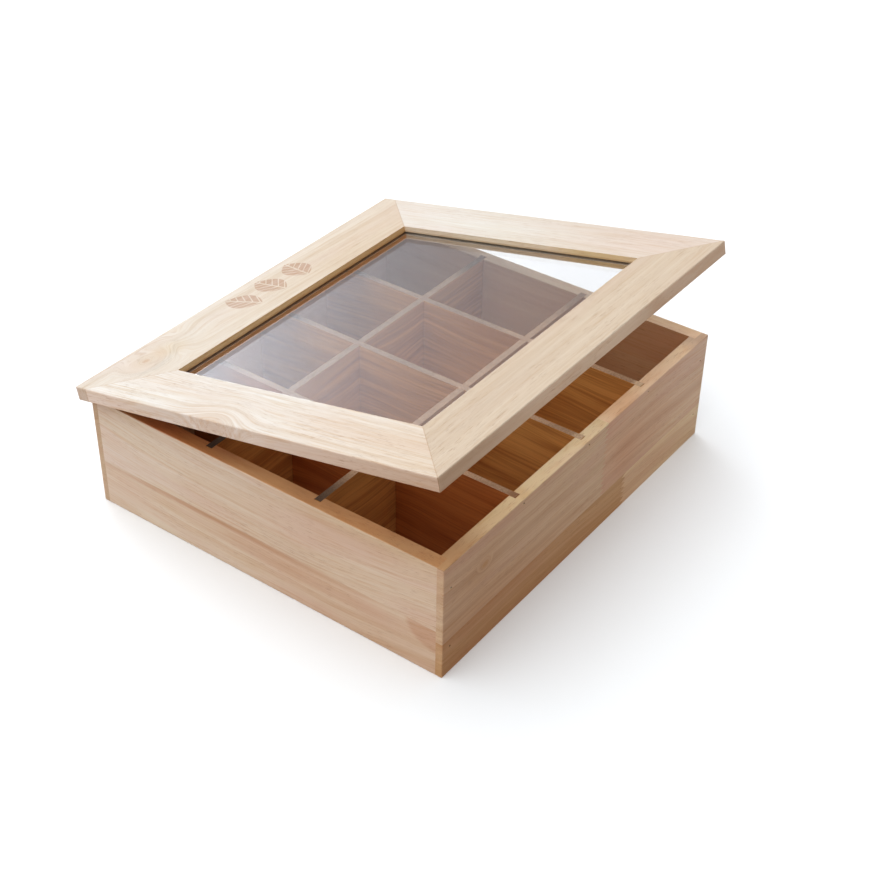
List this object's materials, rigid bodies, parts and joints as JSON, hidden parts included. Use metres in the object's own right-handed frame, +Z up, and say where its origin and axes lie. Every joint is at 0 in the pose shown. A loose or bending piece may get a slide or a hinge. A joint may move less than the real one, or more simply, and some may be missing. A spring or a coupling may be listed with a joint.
{
  "type": "tea bag organizer box",
  "caption": "Wooden box divided into compartments for wrapped tea bags, with a hinged lid made of a mitred wooden frame around a clear window.",
  "frame": {"origin": "centre of the flat underside, where the box rests", "axes": "+X along the width, to the right of someone facing the front; +Y from the front to the hinges at the back; +Z up"},
  "size_m": [0.347, 0.309, 0.1655],
  "materials": {
    "box_wood": "bare sanded pale hardwood",
    "lid_wood": "bare sanded pale hardwood",
    "plywood": "bare plywood",
    "divider_board": "thin veneered board with raw edges",
    "dowel_wood": "bare beech",
    "nail_steel": "dull",
    "hinge_brass": "satin",
    "clear_acrylic": "clear polished sheet"
  },
  "bodies": {
    "box": {"front_panel": "box_wood", "back_panel": "box_wood", "left_side_panel": "box_wood", "right_side_panel": "box_wood", "bottom_panel": "plywood", "front_long_divider": "divider_board", "rear_long_divider": "divider_board", "left_cross_divider": "divider_board", "middle_cross_divider": "divider_board", "right_cross_divider": "divider_board", "corner_nails": "nail_steel", "divider_nails": "nail_steel", "bottom_nails": "nail_steel", "left_hinge_box_leaf": "hinge_brass", "right_hinge_box_leaf": "hinge_brass", "left_hinge_pin": "hinge_brass", "right_hinge_pin": "hinge_brass", "box_leaf_screws": "hinge_brass"},
    "lid": {"lid_front_rail": "lid_wood", "lid_rear_rail": "lid_wood", "lid_left_rail": "lid_wood", "lid_right_rail": "lid_wood", "mitre_dowels": "dowel_wood", "window_pane": "clear_acrylic", "left_hinge_lid_leaf": "hinge_brass", "right_hinge_lid_leaf": "hinge_brass", "lid_leaf_screws": "hinge_brass"}
  },
  "joints": [
    {"name": "lid_hinge", "type": "hinge", "parent": "box", "child": "lid", "pos_m": [0, 0.151, 0.0904], "axis": [-1, 0, 0], "range_deg": [-12, 85]}
  ]
}
